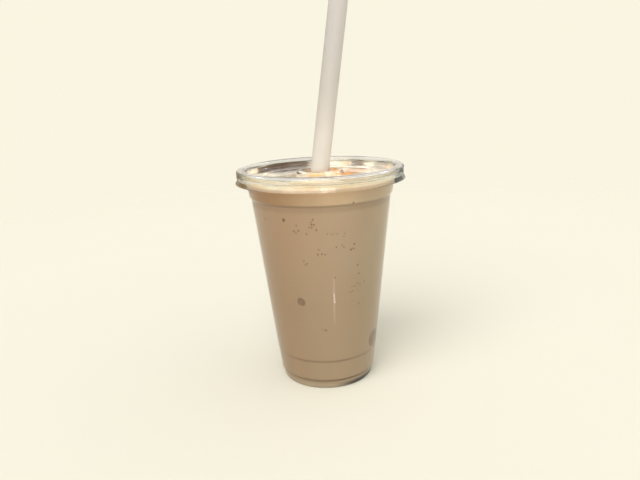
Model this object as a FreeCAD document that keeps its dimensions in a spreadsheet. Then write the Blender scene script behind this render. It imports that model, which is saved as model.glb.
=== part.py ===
"""Iced cappuccino in a clear to-go cup with a flat snap lid and a wide straw.

Frame: millimetres, +Z up, origin on the ground at the centre of the cup's foot.
The straw leans towards +X and a little towards +Y.
Each sub-part is one object of the document, driven by the sheet "Dimensions".
"""
import FreeCAD, Part
import math
import os
import re

import Sketcher

DIMENSIONS = {
    # cup, thermoformed from clear sheet; its radii follow from the rim down
    "cup_gauge": 0.5,
    "rim_radius": 49.15,
    "rim_top": 131.6,
    "roll_radius": 1.9,
    "roll_gap": 0.6,
    "band_height": 15.1,
    "band_flare": 2.9,
    "shoulder_rise": 1.5,
    "shoulder_width": 0.95,
    "wall_lean": 0.1103,
    "crease_height": 19.0,
    "crease_rise": 0.5,
    "crease_depth": 0.2,
    "foot_height": 5.6,
    "foot_step_rise": 0.6,
    "foot_inset": 0.68,
    "foot_flank": 0.9,
    "foot_round": 1.2,
    "foot_ring_width": 2.45,
    "punt_height": 4.3,
    "punt_flank": 1.3,
    "disc_inset": 13.6,
    "disc_rise": 0.6,
    # lid, thermoformed from thinner clear sheet and fitted to the rolled rim
    "lid_gauge": 0.4,
    "crown_gap": 0.3,
    "skirt_gap": 0.3,
    "plug_gap": 0.35,
    "panel_drop": 4.5,
    "panel_step_inset": 10.4,
    "panel_step_rise": 0.7,
    "boss_margin": 5.4,
    "boss_rise": 2.0,
    "snap_grip": 0.45,
    "snap_drop": 0.7,
    "lip_flare": 1.2,
    "lip_drop": 7.9,
    # straw port: a cross slit whose four flaps are pressed down along the straw
    "port_gap": 0.2,
    "flap_trim": 1.1,
    "flap_tip": 1.0,
    # straw: stands on the floor near the wall and leans in the port
    "straw_radius": 5.5,
    "straw_gauge": 0.3,
    "straw_length": 230.0,
    "straw_wall_gap": 3.25,
    "straw_heading": 18.2,
    "straw_seat": 0.3,
    # drink
    "fill_gap": 0.15,
    "head_gap": 0.3,
    "flap_pocket": 1.2,
    "flap_bed": 0.6,
}

ROLL_SHARE = 0.96  # share of the roll's half width that its rounded corners take up

document = FreeCAD.newDocument("IcedCappuccino")


def make_sheet():
    """The spreadsheet that holds every driving dimension under its own name."""
    sheet = document.addObject("Spreadsheet::Sheet", "Dimensions")
    for row, (name, size) in enumerate(DIMENSIONS.items(), start=1):
        sheet.set(f"A{row}", name)
        sheet.set(f"B{row}", str(size))
        sheet.setAlias(f"B{row}", name)
    document.recompute()
    return sheet


def bound(text):
    """An expression on the sheet, from text that uses the plain names of its cells."""
    names = "|".join(sorted(DIMENSIONS, key=len, reverse=True))
    return re.sub(rf"\b({names})\b", r"Dimensions.\1", text)


def measure(text):
    """The present value of such an expression."""
    found = sheet.evalExpression(bound(text))
    return float(getattr(found, "Value", found))


def origin_plane(body, role):
    """One of the origin planes of a body."""
    return next(plane for plane in body.Origin.OriginFeatures if plane.Role == role)


def new_body(label):
    """An empty body whose label names the sub-part."""
    body = document.addObject("PartDesign::Body", label)
    body.Label = label
    return body


def new_sketch(body, name, role, offset=None):
    """A sketch on an origin plane of the body, moved by an optional placement expression."""
    sketch = body.newObject("Sketcher::SketchObject", name)
    sketch.AttachmentSupport = [(origin_plane(body, role), "")]
    sketch.MapMode = "FlatFace"
    if offset:
        sketch.setExpression("AttachmentOffset", bound(offset))
    document.recompute()
    return sketch


def bind(sketch, constraint, text):
    """Add a dimensional constraint that follows an expression."""
    index = sketch.addConstraint(constraint)
    name = f"size{index}"
    sketch.renameConstraint(index, name)
    sketch.setExpression(f"Constraints.{name}", bound(text))


def hold_point(sketch, geometry, position, across, up):
    """Hold a point at the two distances from the sketch's origin."""
    for kind, axis, text in (("DistanceX", -2, across), ("DistanceY", -1, up)):
        size = measure(text)
        if abs(size) < 1e-9:
            sketch.addConstraint(Sketcher.Constraint("PointOnObject", geometry, position, axis))
        elif size > 0:
            rule = Sketcher.Constraint(kind, -1, 1, geometry, position, size)
            bind(sketch, rule, text)
        else:
            rule = Sketcher.Constraint(kind, geometry, position, -1, 1, -size)
            bind(sketch, rule, f"-({text})")


def corner_cut(before, corner, after, radius):
    """Centre and the two tangent points of a rounded corner."""
    inward = (before - corner).normalize()
    onward = (after - corner).normalize()
    middle = (inward + onward).normalize()
    half = inward.getAngle(onward) / 2
    run = radius / math.tan(half)
    depth = (radius ** 2 + run ** 2) ** 0.5
    return corner + middle * depth, corner + inward * run, corner + onward * run


def draw_outline(sketch, corners):
    """A closed outline through corners (across, up, rounding or None), held by expressions."""
    count = len(corners)
    points = [FreeCAD.Vector(measure(across), measure(up), 0) for across, up, _ in corners]
    rounds = [measure(rounding) if rounding else 0 for _, _, rounding in corners]
    centres = [None] * count
    arrivals = list(points)
    departures = list(points)
    for i in range(count):
        if rounds[i]:
            found = corner_cut(points[i - 1], points[i], points[(i + 1) % count], rounds[i])
            centres[i], arrivals[i], departures[i] = found
    edges = [Part.LineSegment(departures[i], arrivals[(i + 1) % count]) for i in range(count)]
    lines = sketch.addGeometry(edges, False)
    for i, (across, up, rounding) in enumerate(corners):
        line_in = lines[i - 1]
        line_out = lines[i]
        if not rounding:
            sketch.addConstraint(Sketcher.Constraint("Coincident", line_in, 2, line_out, 1))
            hold_point(sketch, line_out, 1, across, up)
            continue
        turn = (points[i] - points[i - 1]).cross(points[(i + 1) % count] - points[i]).z
        start, end = (arrivals[i], departures[i]) if turn > 0 else (departures[i], arrivals[i])
        circle = Part.Circle(centres[i], FreeCAD.Vector(0, 0, 1), rounds[i])
        ends = (circle.parameter(start), circle.parameter(end))
        arc = sketch.addGeometry(Part.ArcOfCircle(circle, *ends), False)
        arrive, leave = (1, 2) if turn > 0 else (2, 1)
        apex = sketch.addGeometry(Part.Point(points[i]), True)
        sketch.addConstraint([
            Sketcher.Constraint("Tangent", line_in, 2, arc, arrive),
            Sketcher.Constraint("Tangent", line_out, 1, arc, leave),
            Sketcher.Constraint("PointOnObject", apex, 1, line_in),
            Sketcher.Constraint("PointOnObject", apex, 1, line_out),
        ])
        bind(sketch, Sketcher.Constraint("Radius", arc, rounds[i]), rounding)
        hold_point(sketch, apex, 1, across, up)


def draw_ring(sketch, *radii):
    """Circles round the sketch's origin, each with its radius held by an expression."""
    for text in radii:
        circle = Part.Circle(FreeCAD.Vector(), FreeCAD.Vector(0, 0, 1), measure(text))
        index = sketch.addGeometry(circle, False)
        sketch.addConstraint(Sketcher.Constraint("Coincident", index, 3, -1, 1))
        bind(sketch, Sketcher.Constraint("Radius", index, measure(text)), text)


def revolve(body, name, corners):
    """Turn an outline in the XZ plane once round the Z axis."""
    sketch = new_sketch(body, f"{name}Profile", "XZ_Plane")
    draw_outline(sketch, corners)
    feature = body.newObject("PartDesign::Revolution", name)
    feature.Profile = sketch
    feature.ReferenceAxis = (sketch, ["V_Axis"])
    feature.Angle = 360
    document.recompute()
    return feature


def cut(body, name, sketch, length=None, upward=False):
    """Pocket a sketch, to a depth or through all, and make sure that it removed something."""
    before = body.Shape.Volume
    feature = body.newObject("PartDesign::Pocket", name)
    feature.Profile = sketch
    feature.Reversed = upward
    if length:
        feature.Midplane = True
        feature.setExpression("Length", bound(length))
    else:
        feature.Type = "ThroughAll"
    document.recompute()
    if body.Shape.Volume >= before:
        raise RuntimeError(f"{name} cuts nothing")
    return feature


# Shared lines of the cup -------------------------------------------------------------

BORE_AT_RIM = "(rim_radius - 2 * roll_radius)"
SHOULDER_TOP = "(rim_top - band_height)"
SHOULDER_FOOT = f"({SHOULDER_TOP} - shoulder_rise)"
SHOULDER_RADIUS = f"({BORE_AT_RIM} - band_flare + cup_gauge)"
STEP_TOP = "(foot_height + foot_step_rise)"
CREASE_TOP = "(crease_height + crease_rise)"
FLOOR = "(punt_height + cup_gauge)"


def wall(height):
    """Outer radius of the straight wall at a height."""
    drop = f"({SHOULDER_FOOT} - {height})"
    return f"({SHOULDER_RADIUS} - shoulder_width - wall_lean * {drop})"


FOOT_TOP_RADIUS = f"({wall('foot_height')} - foot_inset)"
FOOT_RADIUS = f"({FOOT_TOP_RADIUS} - foot_flank)"
RING_RADIUS = f"({FOOT_RADIUS} - foot_ring_width)"
PUNT_RADIUS = f"({RING_RADIUS} - punt_flank)"
DISC_RADIUS = f"({PUNT_RADIUS} - disc_inset)"


def band_bore(height):
    """Inner radius of the upper band, which runs straight from the shoulder to the rim."""
    return f"({BORE_AT_RIM} - band_flare * (rim_top - {height}) / band_height)"


def bore_outline(gap):
    """Inner face of the cup from the axis to the shoulder, set off inwards by a gap."""
    inset = f"(cup_gauge + {gap})"
    low = f"(crease_depth + {inset})"
    return [
        ("0", f"{FLOOR} + disc_rise + {gap}", None),
        (DISC_RADIUS, f"{FLOOR} + disc_rise + {gap}", None),
        (f"{DISC_RADIUS} + disc_rise", f"{FLOOR} + {gap}", None),
        (f"{PUNT_RADIUS} + cup_gauge", f"{FLOOR} + {gap}", "3 * cup_gauge"),
        (f"{RING_RADIUS} + {inset}", inset, None),
        (f"{FOOT_RADIUS} - {inset}", inset, "foot_round - cup_gauge"),
        (f"{FOOT_TOP_RADIUS} - {inset}", "foot_height", None),
        (f"{wall(STEP_TOP)} - {low}", STEP_TOP, None),
        (f"{wall('crease_height')} - {low}", "crease_height", None),
        (f"{wall(CREASE_TOP)} - {inset}", CREASE_TOP, None),
        (f"{wall(SHOULDER_FOOT)} - {inset}", SHOULDER_FOOT, None),
        (f"{SHOULDER_RADIUS} - {inset}", SHOULDER_TOP, None),
    ]


def roll_outline():
    """The rim, rolled outwards and under into a hollow bead, from the bore to the outer face."""
    outside = f"{ROLL_SHARE} * roll_radius"
    inside = f"{ROLL_SHARE} * (roll_radius - cup_gauge)"
    under = "(rim_top - 2 * roll_radius)"
    tip = f"{BORE_AT_RIM} + cup_gauge + roll_gap"
    return [
        (BORE_AT_RIM, "rim_top", outside),
        ("rim_radius", "rim_top", outside),
        ("rim_radius", under, outside),
        (tip, under, None),
        (tip, f"{under} + cup_gauge", None),
        ("rim_radius - cup_gauge", f"{under} + cup_gauge", inside),
        ("rim_radius - cup_gauge", "rim_top - cup_gauge", inside),
        (f"{BORE_AT_RIM} + cup_gauge", "rim_top - cup_gauge", inside),
    ]


def face_outline():
    """Outer face of the cup, from the shoulder down round the foot to the axis."""
    return [
        (SHOULDER_RADIUS, SHOULDER_TOP, None),
        (wall(SHOULDER_FOOT), SHOULDER_FOOT, None),
        (wall(CREASE_TOP), CREASE_TOP, None),
        (f"{wall('crease_height')} - crease_depth", "crease_height", None),
        (f"{wall(STEP_TOP)} - crease_depth", STEP_TOP, None),
        (FOOT_TOP_RADIUS, "foot_height", None),
        (FOOT_RADIUS, "0", "foot_round"),
        (RING_RADIUS, "0", "cup_gauge"),
        (PUNT_RADIUS, "punt_height", "2 * cup_gauge"),
        (f"{DISC_RADIUS} + disc_rise - cup_gauge", "punt_height", None),
        (f"{DISC_RADIUS} - cup_gauge", "punt_height + disc_rise", None),
        ("0", "punt_height + disc_rise", None),
    ]


def make_cup():
    """The clear cup: footed base with a pushed-up floor, drafted wall, shoulder and rolled rim."""
    body = new_body("cup")
    revolve(body, "CupShell", bore_outline("0") + roll_outline() + face_outline())
    return body


# Shared lines of the straw and the lid -----------------------------------------------

CROWN_TOP = "(rim_top + crown_gap + lid_gauge)"
PANEL = f"({CROWN_TOP} - panel_drop)"
INNER_PANEL = f"({PANEL} - panel_step_rise)"
BOSS_TOP = f"({PANEL} + boss_rise)"
PORT = "(straw_radius + port_gap)"
FLAP_REACH = f"({PORT} - flap_trim)"
BORED = "(straw_radius - straw_gauge)"
STRAW_FOOT = f"({FOOT_TOP_RADIUS} - cup_gauge - straw_wall_gap - straw_radius)"
STRAW_LEAN = f"atan({STRAW_FOOT} / ({BOSS_TOP} - {FLOOR}))"
STRAW_SINK = (
    f"(({BOSS_TOP} - {FLOOR} - straw_seat - straw_radius * sin({STRAW_LEAN}))"
    f" / cos({STRAW_LEAN}))"
)


def along_straw(distance):
    """Placement at a distance along the straw's axis from the port, turned to the straw."""
    heading = "(straw_heading * 1 deg)"
    lean = f"({STRAW_LEAN})"
    reach = f"(({distance}) * sin{lean})"
    base = f"vector({reach} * cos{heading}; {reach} * sin{heading}; {BOSS_TOP} + ({distance}) * cos{lean})"
    tilt = f"rotation(vector(-sin{heading}; cos{heading}; 0); {lean}) * rotation(vector(0; 0; 1); {heading})"
    return f"placement({base}; {tilt})"


def make_straw():
    """The wide straight straw, standing on the cup's floor and leaning in the lid's port."""
    body = new_body("straw")
    sketch = new_sketch(body, "StrawSection", "XY_Plane")
    draw_ring(sketch, "straw_radius", BORED)
    tube = body.newObject("PartDesign::Pad", "StrawTube")
    tube.Profile = sketch
    tube.setExpression("Length", bound("straw_length"))
    body.setExpression("Placement", bound(along_straw(f"-{STRAW_SINK}")))
    document.recompute()
    return body


def lid_outline():
    """Section of the lid: boss, stepped panel, plug wall, crown, skirt, snap neck and lip."""
    boss = f"({PORT} * sqrt(2) + boss_margin)"
    flank = "boss_rise / 2"
    plug_low = f"({band_bore(PANEL)} - plug_gap)"
    plug_high = f"({BORE_AT_RIM} - plug_gap)"
    step = f"({plug_low} - panel_step_inset)"
    skirt = "(rim_radius + skirt_gap + lid_gauge)"
    skirt_foot = "(rim_top - 2 * roll_radius)"
    neck = f"({skirt} - skirt_gap - snap_grip)"
    neck_height = f"({skirt_foot} - snap_drop)"
    lip = f"({neck} + lip_flare + lid_gauge)"
    lip_height = f"({CROWN_TOP} - lip_drop)"
    return [
        ("0", BOSS_TOP, None),
        (boss, BOSS_TOP, "2 * lid_gauge"),
        (f"{boss} + {flank}", INNER_PANEL, "lid_gauge"),
        (step, INNER_PANEL, None),
        (f"{step} + panel_step_rise", PANEL, None),
        (f"{plug_low} - lid_gauge", PANEL, "2 * lid_gauge"),
        (f"{plug_high} - lid_gauge", CROWN_TOP, "3 * lid_gauge"),
        (skirt, CROWN_TOP, "4 * lid_gauge"),
        (skirt, skirt_foot, None),
        (neck, neck_height, "lid_gauge"),
        (lip, lip_height, None),
        (f"{lip} - lid_gauge", lip_height, None),
        (f"{neck} - lid_gauge", neck_height, "2 * lid_gauge"),
        (f"{skirt} - lid_gauge", skirt_foot, None),
        (f"{skirt} - lid_gauge", f"{CROWN_TOP} - lid_gauge", "3 * lid_gauge"),
        (plug_high, f"{CROWN_TOP} - lid_gauge", "2 * lid_gauge"),
        (plug_low, f"{PANEL} - lid_gauge", "3 * lid_gauge"),
        (f"{step} + panel_step_rise + lid_gauge", f"{PANEL} - lid_gauge", None),
        (f"{step} + lid_gauge", f"{INNER_PANEL} - lid_gauge", None),
        (f"{boss} + {flank} - lid_gauge", f"{INNER_PANEL} - lid_gauge", "2 * lid_gauge"),
        (f"{boss} - lid_gauge", f"{BOSS_TOP} - lid_gauge", "lid_gauge"),
        ("0", f"{BOSS_TOP} - lid_gauge", None),
    ]


def cut_port(body):
    """The square left in the boss when the four flaps of the cross slit are pressed down."""
    sketch = new_sketch(body, "PortOutline", "XY_Plane", along_straw("0"))
    sides = ((1, 1), (-1, 1), (-1, -1), (1, -1))
    draw_outline(sketch, [(f"{across} * {PORT}", f"{up} * {PORT}", None) for across, up in sides])
    cut(body, "Port", sketch, f"8 * lid_gauge + 2 * {PORT} * tan({STRAW_LEAN})")


def add_flap(body, index):
    """One flap of the slit, hinged in the boss and lying along the straw."""
    turn = f"rotation(vector(0; 0; 1); {90 * index} deg)"
    stand = "rotation(vector(1; 1; 1); 120 deg)"
    face = f"placement(vector(0; 0; 0); {turn}) * placement(vector({PORT}; 0; 0); {stand})"
    sketch = new_sketch(body, f"Flap{index}Outline", "XY_Plane", f"{along_straw('0')} * {face}")
    slant = f"({PORT} * tan({STRAW_LEAN}))"
    first = (1, 1, -1, -1)[index]
    last = (1, -1, -1, 1)[index]
    draw_outline(sketch, [
        (f"-{PORT}", f"{first} * {slant} - lid_gauge / 2", None),
        ("-flap_tip / 2", f"-{FLAP_REACH}", None),
        ("flap_tip / 2", f"-{FLAP_REACH}", None),
        (PORT, f"{last} * {slant} - lid_gauge / 2", None),
    ])
    before = body.Shape.Volume
    flap = body.newObject("PartDesign::Pad", f"Flap{index}")
    flap.Profile = sketch
    flap.setExpression("Length", bound("lid_gauge"))
    document.recompute()
    if body.Shape.Volume <= before:
        raise RuntimeError(f"flap {index} adds nothing")


def make_lid():
    """The clear flat lid with its plug, snap skirt and slit straw port."""
    body = new_body("lid")
    revolve(body, "LidShell", lid_outline())
    cut_port(body)
    for index in range(4):
        add_flap(body, index)
    return body


# The drink ---------------------------------------------------------------------------


FOAM_LEVEL = f"({INNER_PANEL} - lid_gauge - head_gap)"
POCKET_RADIUS = f"({PORT} + flap_pocket)"
POCKET_DROP = f"(({FLAP_REACH} + fill_gap) * cos({STRAW_LEAN}) + {POCKET_RADIUS} * sin({STRAW_LEAN}))"
FOAM_FOOT = f"({BOSS_TOP} - {POCKET_DROP} - flap_bed)"
COFFEE_LEVEL = f"({FOAM_FOOT} - fill_gap)"


def make_coffee():
    """The blended coffee: fills the cup to its level, outside the straw and within its bore."""
    body = new_body("coffee")
    revolve(body, "CoffeeFill", bore_outline("fill_gap") + [
        (f"{band_bore(COFFEE_LEVEL)} - fill_gap", COFFEE_LEVEL, None),
        ("0", COFFEE_LEVEL, None),
    ])
    sketch = new_sketch(body, "StrawRing", "XY_Plane", along_straw(f"-{STRAW_SINK} - fill_gap"))
    draw_ring(sketch, "straw_radius + fill_gap", f"{BORED} - fill_gap")
    cut(body, "StrawWall", sketch, upward=True)
    return body


def make_foam():
    """The cap of froth on the coffee, open round the straw and round the lid's flaps."""
    body = new_body("foam")
    revolve(body, "FoamFill", [
        ("0", FOAM_FOOT, None),
        (f"{band_bore(FOAM_FOOT)} - fill_gap", FOAM_FOOT, None),
        (f"{band_bore(FOAM_LEVEL)} - fill_gap", FOAM_LEVEL, "3 * fill_gap"),
        ("0", FOAM_LEVEL, None),
    ])
    sketch = new_sketch(body, "StrawHole", "XY_Plane", along_straw(f"-{STRAW_SINK}"))
    draw_ring(sketch, "straw_radius + fill_gap")
    cut(body, "StrawPassage", sketch, upward=True)
    sketch = new_sketch(body, "FlapRing", "XY_Plane", along_straw(f"-({FLAP_REACH} + fill_gap)"))
    draw_ring(sketch, POCKET_RADIUS)
    cut(body, "FlapPocket", sketch, upward=True)
    return body


def check_document():
    """Stop if any object failed to compute."""
    for item in document.Objects:
        if "Invalid" in item.State or "Error" in item.State:
            raise RuntimeError(f"{item.Name} failed: {item.State}")


def export(bodies):
    """Write each sub-part to its own STEP file, after checking that it is one valid solid."""
    for body in bodies:
        shape = body.Shape
        if shape.isNull() or not shape.isValid():
            raise RuntimeError(f"{body.Label} has no valid shape")
        if len(shape.Solids) != 1:
            raise RuntimeError(f"{body.Label} is {len(shape.Solids)} solids")
    os.makedirs("parts", exist_ok=True)
    for body in bodies:
        body.Shape.exportStep(f"parts/{body.Label}.step")
        print(f"{body.Label}: {body.Shape.Volume / 1000:.2f} cm3")


sheet = make_sheet()
sub_parts = [make_cup(), make_lid(), make_straw(), make_coffee(), make_foam()]
document.recompute()
check_document()
export(sub_parts)
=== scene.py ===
"""Looks of the iced cappuccino in its clear to-go cup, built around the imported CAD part."""

import math
import random

import bmesh
import bpy
from mathutils import Matrix, Vector, noise


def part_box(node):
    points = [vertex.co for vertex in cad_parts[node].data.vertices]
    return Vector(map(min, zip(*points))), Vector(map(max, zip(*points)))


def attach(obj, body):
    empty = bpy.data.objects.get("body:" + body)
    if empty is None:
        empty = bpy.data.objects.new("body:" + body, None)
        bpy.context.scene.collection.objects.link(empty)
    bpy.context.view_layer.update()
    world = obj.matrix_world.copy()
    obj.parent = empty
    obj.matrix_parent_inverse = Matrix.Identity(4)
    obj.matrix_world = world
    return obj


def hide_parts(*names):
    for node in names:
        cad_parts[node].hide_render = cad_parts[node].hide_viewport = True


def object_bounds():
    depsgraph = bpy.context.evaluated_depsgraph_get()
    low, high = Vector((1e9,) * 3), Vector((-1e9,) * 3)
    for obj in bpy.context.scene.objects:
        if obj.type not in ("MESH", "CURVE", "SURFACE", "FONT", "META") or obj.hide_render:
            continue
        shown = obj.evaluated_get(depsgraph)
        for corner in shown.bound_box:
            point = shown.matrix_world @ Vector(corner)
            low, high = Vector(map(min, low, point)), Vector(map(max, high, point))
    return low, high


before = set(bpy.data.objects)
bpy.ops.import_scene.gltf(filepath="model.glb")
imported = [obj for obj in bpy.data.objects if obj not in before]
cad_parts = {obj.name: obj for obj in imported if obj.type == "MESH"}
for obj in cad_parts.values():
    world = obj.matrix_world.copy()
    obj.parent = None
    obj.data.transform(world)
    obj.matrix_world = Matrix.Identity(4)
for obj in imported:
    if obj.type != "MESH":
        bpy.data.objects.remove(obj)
CAD_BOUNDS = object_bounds()

# Sizes, in millimetres ---------------------------------------------------------------

MM = 0.001
SEGMENTS = 256
TURN_STEP = math.radians(9)

RIM_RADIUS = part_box("cup")[1].x / MM
RIM_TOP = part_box("cup")[1].z / MM
LIP_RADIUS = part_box("lid")[1].x / MM
LID_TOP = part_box("lid")[1].z / MM
STRAW_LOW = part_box("straw")[0].z / MM
FOAM_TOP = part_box("foam")[1].z / MM
FOAM_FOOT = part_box("foam")[0].z / MM

CUP_GAUGE = 0.5
ROLL_RADIUS = 1.9
ROLL_CORNER = 0.96 * ROLL_RADIUS
ROLL_GAP = 0.6
BAND_HEIGHT = 15.1
BAND_FLARE = 2.9
SHOULDER_RISE = 1.5
SHOULDER_WIDTH = 0.95
WALL_LEAN = 0.1103
CREASE_HEIGHT = 19.0
CREASE_RISE = 0.5
CREASE_DEPTH = 0.2
FOOT_HEIGHT = 5.6
FOOT_STEP = 0.6
FOOT_INSET = 0.68
FOOT_FLANK = 0.9
FOOT_RING = 2.45
PUNT_HEIGHT = 4.3
PUNT_FLANK = 1.3
DISC_INSET = 13.6
DISC_RISE = 0.6

LID_GAUGE = 0.4
PLUG_RADIUS = 44.6
SKIRT_RADIUS = 49.85
PANEL_DROP = 4.5
PANEL_EDGE = 43.87
PANEL_STEP_RADIUS = 34.57
PANEL_STEP_RISE = 0.7
BOSS_RADIUS = 14.46
BOSS_FLANK = 1.0
BOSS_RISE = 2.0
LIP_DROP = 7.9
SNAP_GRIP = 0.75
SNAP_DROP = 0.7
PORT_HALF = 5.7
FLAP_REACH = 4.6
FLAP_TIP = 1.0

STRAW_RADIUS = 5.5
STRAW_GAUGE = 0.3
STRAW_SOFT_EDGE = 0.08
STRAW_LENGTH = 230.0
STRAW_LEAN = math.radians(9.09)
STRAW_HEADING = math.radians(18.2)

# How far drink and froth reach into their neighbours, so that no air gap shows, and how far the
# pearls stand out of the drink.
WALL_SINK = 0.2
STRAW_SINK = 0.12
LID_SINK = 0.08
PEARL_PROUD = 0.06

BAND_TOP_RADIUS = RIM_RADIUS - 2 * ROLL_RADIUS
SHOULDER_TOP = RIM_TOP - BAND_HEIGHT
SHOULDER_FOOT = SHOULDER_TOP - SHOULDER_RISE
BAND_FOOT_RADIUS = BAND_TOP_RADIUS - BAND_FLARE
WALL_TOP_RADIUS = BAND_FOOT_RADIUS - SHOULDER_WIDTH + CUP_GAUGE
BOSS_TOP = LID_TOP - PANEL_DROP + BOSS_RISE
PANEL_OUTER = LID_TOP - PANEL_DROP
PANEL_INNER = PANEL_OUTER - PANEL_STEP_RISE

# The squeezed froth: its top, and the narrow strip at the back where it leaves the plug bare.
SQUEEZE_TOP = RIM_TOP - 1.2
BARE_FROM = -5.0
BARE_HALF = 9.0
BARE_WIDTH = 12.0

# Shapes ------------------------------------------------------------------------------


def wall(height):
    """Outer radius of the cup's tapered wall at a height."""
    return WALL_TOP_RADIUS - WALL_LEAN * (SHOULDER_FOOT - height)


STEP_TOP = FOOT_HEIGHT + FOOT_STEP
CREASE_TOP = CREASE_HEIGHT + CREASE_RISE
FOOT_RADIUS = wall(STEP_TOP) - CREASE_DEPTH - FOOT_INSET
FOOT_LOW_RADIUS = FOOT_RADIUS - FOOT_FLANK
PUNT_RADIUS = FOOT_LOW_RADIUS - FOOT_RING
DISC_RADIUS = PUNT_RADIUS - PUNT_FLANK - DISC_INSET


def cup_inside():
    """Corners (radius, height, fillet) of the drink side, from the middle to the band's top."""
    floor = PUNT_HEIGHT + CUP_GAUGE
    return [
        (0.0, floor + DISC_RISE, 0.0),
        (DISC_RADIUS + CUP_GAUGE, floor + DISC_RISE, 0.4),
        (DISC_RADIUS + CUP_GAUGE + DISC_RISE, floor, 0.4),
        (PUNT_RADIUS - PUNT_FLANK + CUP_GAUGE, floor, 1.5),
        (PUNT_RADIUS + CUP_GAUGE, CUP_GAUGE, 0.5),
        (FOOT_LOW_RADIUS - CUP_GAUGE, CUP_GAUGE, 0.7),
        (FOOT_RADIUS - CUP_GAUGE, FOOT_HEIGHT, 0.3),
        (wall(STEP_TOP) - CREASE_DEPTH - CUP_GAUGE, STEP_TOP, 0.3),
        (wall(CREASE_HEIGHT) - CREASE_DEPTH - CUP_GAUGE, CREASE_HEIGHT, 0.2),
        (wall(CREASE_TOP) - CUP_GAUGE, CREASE_TOP, 0.2),
        (WALL_TOP_RADIUS - CUP_GAUGE, SHOULDER_FOOT, 0.8),
        (BAND_FOOT_RADIUS, SHOULDER_TOP, 0.8),
        (BAND_TOP_RADIUS, RIM_TOP, ROLL_CORNER),
    ]


def cup_outside():
    """Corners of the cup's rolled rim and outer face, on to the middle of its underside."""
    roll_foot = RIM_TOP - 2 * ROLL_RADIUS
    roll_inner = ROLL_CORNER - CUP_GAUGE
    tuck = BAND_TOP_RADIUS + CUP_GAUGE + ROLL_GAP
    return [
        (RIM_RADIUS, RIM_TOP, ROLL_CORNER),
        (RIM_RADIUS, roll_foot, ROLL_CORNER),
        (tuck, roll_foot, 0.1),
        (tuck, roll_foot + CUP_GAUGE, 0.1),
        (RIM_RADIUS - CUP_GAUGE, roll_foot + CUP_GAUGE, roll_inner),
        (RIM_RADIUS - CUP_GAUGE, RIM_TOP - CUP_GAUGE, roll_inner),
        (BAND_TOP_RADIUS + CUP_GAUGE, RIM_TOP - CUP_GAUGE, roll_inner),
        (BAND_FOOT_RADIUS + CUP_GAUGE, SHOULDER_TOP, 0.8),
        (WALL_TOP_RADIUS, SHOULDER_FOOT, 0.8),
        (wall(CREASE_TOP), CREASE_TOP, 0.2),
        (wall(CREASE_HEIGHT) - CREASE_DEPTH, CREASE_HEIGHT, 0.2),
        (wall(STEP_TOP) - CREASE_DEPTH, STEP_TOP, 0.3),
        (FOOT_RADIUS, FOOT_HEIGHT, 0.3),
        (FOOT_LOW_RADIUS, 0.0, 1.2),
        (PUNT_RADIUS, 0.0, 0.5),
        (PUNT_RADIUS - PUNT_FLANK, PUNT_HEIGHT, 1.0),
        (DISC_RADIUS + DISC_RISE, PUNT_HEIGHT, 0.4),
        (DISC_RADIUS, PUNT_HEIGHT + DISC_RISE, 0.4),
        (0.0, PUNT_HEIGHT + DISC_RISE, 0.0),
    ]


def lid_upper():
    """Corners of the lid's upper face, from the boss to the lip."""
    return [
        (BOSS_RADIUS - BOSS_FLANK, BOSS_TOP, 0.8),
        (BOSS_RADIUS, PANEL_INNER, 0.5),
        (PANEL_STEP_RADIUS - PANEL_STEP_RISE, PANEL_INNER, 0.4),
        (PANEL_STEP_RADIUS, PANEL_OUTER, 0.4),
        (PANEL_EDGE, PANEL_OUTER, 0.8),
        (PLUG_RADIUS, LID_TOP, 1.2),
        (SKIRT_RADIUS, LID_TOP, 1.6),
        (SKIRT_RADIUS, PANEL_OUTER, 0.4),
        (SKIRT_RADIUS - SNAP_GRIP, PANEL_OUTER - SNAP_DROP, 0.4),
        (LIP_RADIUS, LID_TOP - LIP_DROP, 0.08),
    ]


def lid_lower():
    """Corners of the lid's underside, from the lip back to the boss."""
    skirt = SKIRT_RADIUS - LID_GAUGE
    plug = PLUG_RADIUS + LID_GAUGE
    return [
        (LIP_RADIUS - LID_GAUGE, LID_TOP - LIP_DROP, 0.08),
        (skirt - SNAP_GRIP, PANEL_OUTER - SNAP_DROP, 0.5),
        (skirt, PANEL_OUTER, 0.4),
        (skirt, LID_TOP - LID_GAUGE, 1.2),
        (plug, LID_TOP - LID_GAUGE, 0.8),
        (PANEL_EDGE + LID_GAUGE, PANEL_OUTER - LID_GAUGE, 1.2),
        (PANEL_STEP_RADIUS + LID_GAUGE, PANEL_OUTER - LID_GAUGE, 0.4),
        (PANEL_STEP_RADIUS - PANEL_STEP_RISE + LID_GAUGE, PANEL_INNER - LID_GAUGE, 0.4),
        (BOSS_RADIUS - LID_GAUGE, PANEL_INNER - LID_GAUGE, 0.8),
        (BOSS_RADIUS - BOSS_FLANK - LID_GAUGE, BOSS_TOP - LID_GAUGE, 0.4),
    ]


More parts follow.
